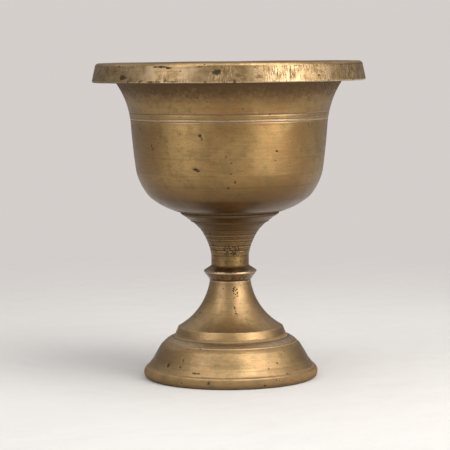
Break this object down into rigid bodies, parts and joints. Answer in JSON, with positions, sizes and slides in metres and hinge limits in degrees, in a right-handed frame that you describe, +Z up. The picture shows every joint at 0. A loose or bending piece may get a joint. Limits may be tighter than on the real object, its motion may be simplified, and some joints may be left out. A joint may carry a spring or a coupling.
{
  "type": "stemmed oil lamp",
  "caption": "Stemmed brass oil lamp with a heavy flat rim, a deep bowl that unscrews from a turned stem, a hollow stepped foot and a lift-out wick.",
  "frame": {"origin": "centre of the ring the foot stands on, at the surface it stands on", "axes": "+Z up the lamp's axis towards the rim; the lamp is turned about Z, so +X and +Y are any two directions across it"},
  "size_m": [0.1078, 0.1078, 0.125],
  "materials": {
    "bowl_brass": "satin, aged",
    "stem_brass": "coarse turned, aged",
    "foot_brass": "satin, aged",
    "fitting_brass": "machined",
    "washer_leather": "oiled",
    "wick_cotton": "twisted cotton",
    "core_splint": "split bamboo"
  },
  "bodies": {
    "base": {"foot": "foot_brass", "stem": "stem_brass", "foot_washer": "fitting_brass", "foot_nut": "fitting_brass"},
    "washer": {"seat_washer": "washer_leather"},
    "bowl": {"bowl": "bowl_brass", "bowl_stud": "fitting_brass", "wick_holder": "fitting_brass"},
    "wick": {"wick": "wick_cotton", "wick_core": "core_splint"}
  },
  "joints": [
    {"name": "bowl_turn", "type": "hinge", "parent": "base", "child": "washer", "pos_m": [0, 0, 0.066], "axis": [0, 0, 1], "range_deg": [0, 1440]},
    {"name": "bowl_rise", "type": "slide", "parent": "washer", "child": "bowl", "axis": [0, 0, 1], "range_m": [0, 0.01]},
    {"name": "wick_lift", "type": "slide", "parent": "bowl", "child": "wick", "axis": [0, 0, 1], "range_m": [0, 0.05]}
  ],
  "couplings": [
    {"joint": "bowl_rise", "follows": "bowl_turn", "m_per_rad": 0.00039789}
  ]
}
